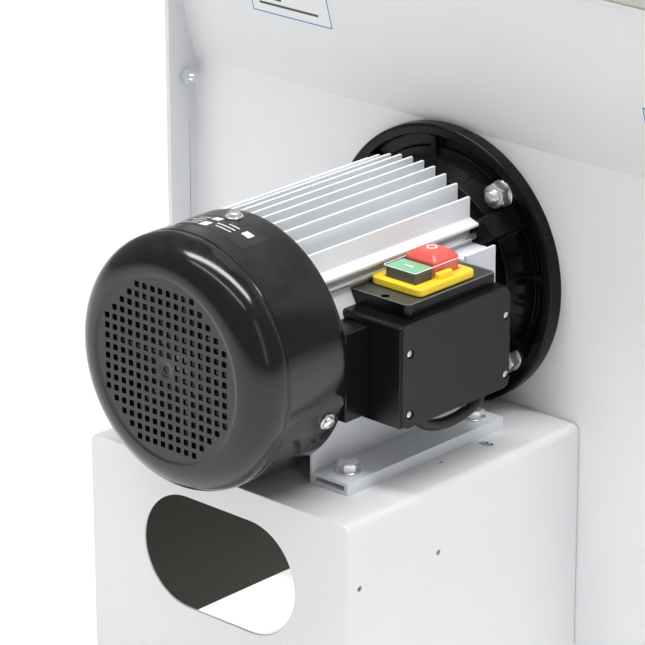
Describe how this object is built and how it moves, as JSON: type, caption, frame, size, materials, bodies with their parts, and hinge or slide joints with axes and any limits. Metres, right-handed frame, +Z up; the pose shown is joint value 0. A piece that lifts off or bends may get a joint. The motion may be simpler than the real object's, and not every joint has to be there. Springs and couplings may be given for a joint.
{
  "type": "drum sander",
  "caption": "Thickness drum sander: flange motor on a steel cabinet drives an abrasive drum by belt over a rising feed table with a hinged dust hood",
  "frame": {"origin": "centre of the bounding box, on the floor under the levelling feet", "axes": "+X is the feed direction, +Y runs from the motor side to the far side along the drum, +Z is up"},
  "size_m": [0.6898, 0.948, 1.11],
  "materials": {
    "panel_paint": "fine-textured light grey powder coat",
    "console_paint": "smooth off-white powder coat",
    "body_paint": "warm grey powder coat",
    "cowl_paint": "semi-gloss black enamel on pressed steel",
    "cast_black": "black paint on a coarse casting",
    "fin_aluminium": "extruded, satin",
    "zinc_steel": "bright zinc plating",
    "bright_steel": "machined",
    "cast_iron_grey": "painted grey casting",
    "winding": "varnished copper and core steel",
    "box_plastic": "black, fine spark texture",
    "black_plastic": "moulded black",
    "yellow_plastic": "moulded yellow",
    "green_plastic": "moulded green",
    "red_plastic": "moulded red",
    "clear_plastic": "thin clear membrane",
    "cable_rubber": "smooth black sheath",
    "belt_rubber": "ribbed drive belt",
    "roller_rubber": "ground rubber covering",
    "drum_aluminium": "turned",
    "abrasive": "cloth-backed abrasive strip",
    "feed_belt_cloth": "rough-top feed belt",
    "bush_bronze": "sintered bronze",
    "wheel_black": "moulded black with a steel shaft"
  },
  "bodies": {
    "machine": {"drive_side_panel": "panel_paint", "far_side_panel": "panel_paint", "infeed_wall": "panel_paint", "outfeed_wall": "panel_paint", "base_floor": "panel_paint", "levelling_feet": "zinc_steel", "lip_bolts": "zinc_steel", "upper_body": "body_paint", "motor_console": "console_paint", "door_hinge_pins": "zinc_steel", "fan_cowl": "cowl_paint", "rear_end_shield": "cast_black", "motor_housing": "fin_aluminium", "stator": "winding", "motor_bearings": "bright_steel", "front_flange": "cast_black", "tie_rods": "zinc_steel", "motor_feet": "fin_aluminium", "foot_bolts": "zinc_steel", "flange_nuts": "zinc_steel", "cowl_screws": "zinc_steel", "terminal_box": "box_plastic", "terminal_cover": "box_plastic", "cover_screws": "zinc_steel", "switch_plate": "yellow_plastic", "switch_guard": "clear_plastic", "cable_glands": "black_plastic", "switch_lead": "cable_rubber", "drive_belt": "belt_rubber", "drive_column": "body_paint", "far_column": "body_paint", "column_covers": "body_paint", "drum_bearings": "cast_iron_grey", "hood_hinge_pins": "zinc_steel", "guide_bushes": "bush_bronze", "lift_bearing": "cast_iron_grey", "control_box": "box_plastic"},
    "rotor": {"rotor_shaft": "bright_steel", "cooling_fan": "black_plastic", "motor_pulley": "bright_steel"},
    "drum": {"sanding_drum": "drum_aluminium", "drum_shaft": "bright_steel", "abrasive_wrap": "abrasive", "drum_pulley": "bright_steel"},
    "table": {"table_frame": "bright_steel", "feed_belt": "feed_belt_cloth", "feed_gearmotor": "cast_iron_grey", "guide_posts": "bright_steel"},
    "feed_roll": {"drive_roller": "bright_steel"},
    "return_roll": {"idler_roller": "bright_steel"},
    "infeed_press": {"infeed_roller": "roller_rubber"},
    "outfeed_press": {"outfeed_roller": "roller_rubber"},
    "wheel": {"handwheel": "wheel_black"},
    "grip": {"handwheel_grip": "black_plastic"},
    "screw": {"lift_screw": "bright_steel"},
    "start": {"start_button": "green_plastic"},
    "stop": {"stop_button": "red_plastic"},
    "hood_lid": {"hood": "body_paint"},
    "door": {"access_door": "panel_paint"},
    "dial": {"speed_knob": "black_plastic"}
  },
  "joints": [
    {"name": "motor_spin", "type": "hinge", "parent": "machine", "child": "rotor", "pos_m": [0, -0.29545, 0.3], "axis": [0, 1, 0], "continuous": true},
    {"name": "drum_spin", "type": "hinge", "parent": "machine", "child": "drum", "pos_m": [0, 0.11455, 0.9135], "axis": [0, 1, 0], "continuous": true},
    {"name": "handwheel_turn", "type": "hinge", "parent": "machine", "child": "wheel", "pos_m": [-0.296, 0.11455, 0.556], "axis": [1, 0, 0], "range_deg": [-2880, 5040]},
    {"name": "grip_spin", "type": "hinge", "parent": "wheel", "child": "grip", "pos_m": [-0.322, 0.18055, 0.556], "axis": [1, 0, 0], "continuous": true},
    {"name": "lift_screw_turn", "type": "hinge", "parent": "machine", "child": "screw", "pos_m": [0, 0.11455, 0.6], "axis": [0, 0, 1], "range_deg": [-5040, 2880]},
    {"name": "table_lift", "type": "slide", "parent": "machine", "child": "table", "axis": [0, 0, 1], "range_m": [-0.032, 0.056]},
    {"name": "feed_drive", "type": "hinge", "parent": "table", "child": "feed_roll", "pos_m": [0.317, 0.11455, 0.762], "axis": [0, 1, 0], "continuous": true},
    {"name": "feed_return", "type": "hinge", "parent": "table", "child": "return_roll", "pos_m": [-0.317, 0.11455, 0.762], "axis": [0, 1, 0], "continuous": true},
    {"name": "infeed_roller_spin", "type": "hinge", "parent": "machine", "child": "infeed_press", "pos_m": [-0.092, 0.11455, 0.868], "axis": [0, 1, 0], "continuous": true},
    {"name": "outfeed_roller_spin", "type": "hinge", "parent": "machine", "child": "outfeed_press", "pos_m": [0.092, 0.11455, 0.868], "axis": [0, 1, 0], "continuous": true},
    {"name": "start_press", "type": "slide", "parent": "machine", "child": "start", "axis": [0, 0, -1], "range_m": [0, 0.003], "stiffness_N_per_m": 400},
    {"name": "stop_press", "type": "slide", "parent": "machine", "child": "stop", "axis": [0, 0, -1], "range_m": [0, 0.003], "stiffness_N_per_m": 400},
    {"name": "hood_hinge", "type": "hinge", "parent": "machine", "child": "hood_lid", "pos_m": [0.128, 0.11455, 0.93], "axis": [0, 1, 0], "range_deg": [0, 75]},
    {"name": "door_hinge", "type": "hinge", "parent": "machine", "child": "door", "pos_m": [-0.258, -0.07345, 0.265], "axis": [0, 0, 1], "range_deg": [0, 100]},
    {"name": "speed_dial_turn", "type": "hinge", "parent": "machine", "child": "dial", "pos_m": [-0.165, 0.40655, 0.89], "axis": [-1, 0, 0], "range_deg": [0, 270]}
  ],
  "couplings": [
    {"joint": "drum_spin", "follows": "motor_spin", "ratio": 1},
    {"joint": "handwheel_turn", "follows": "table_lift", "rad_per_m": 1570.8},
    {"joint": "lift_screw_turn", "follows": "table_lift", "rad_per_m": -1570.8},
    {"joint": "feed_return", "follows": "feed_drive", "ratio": 1}
  ]
}
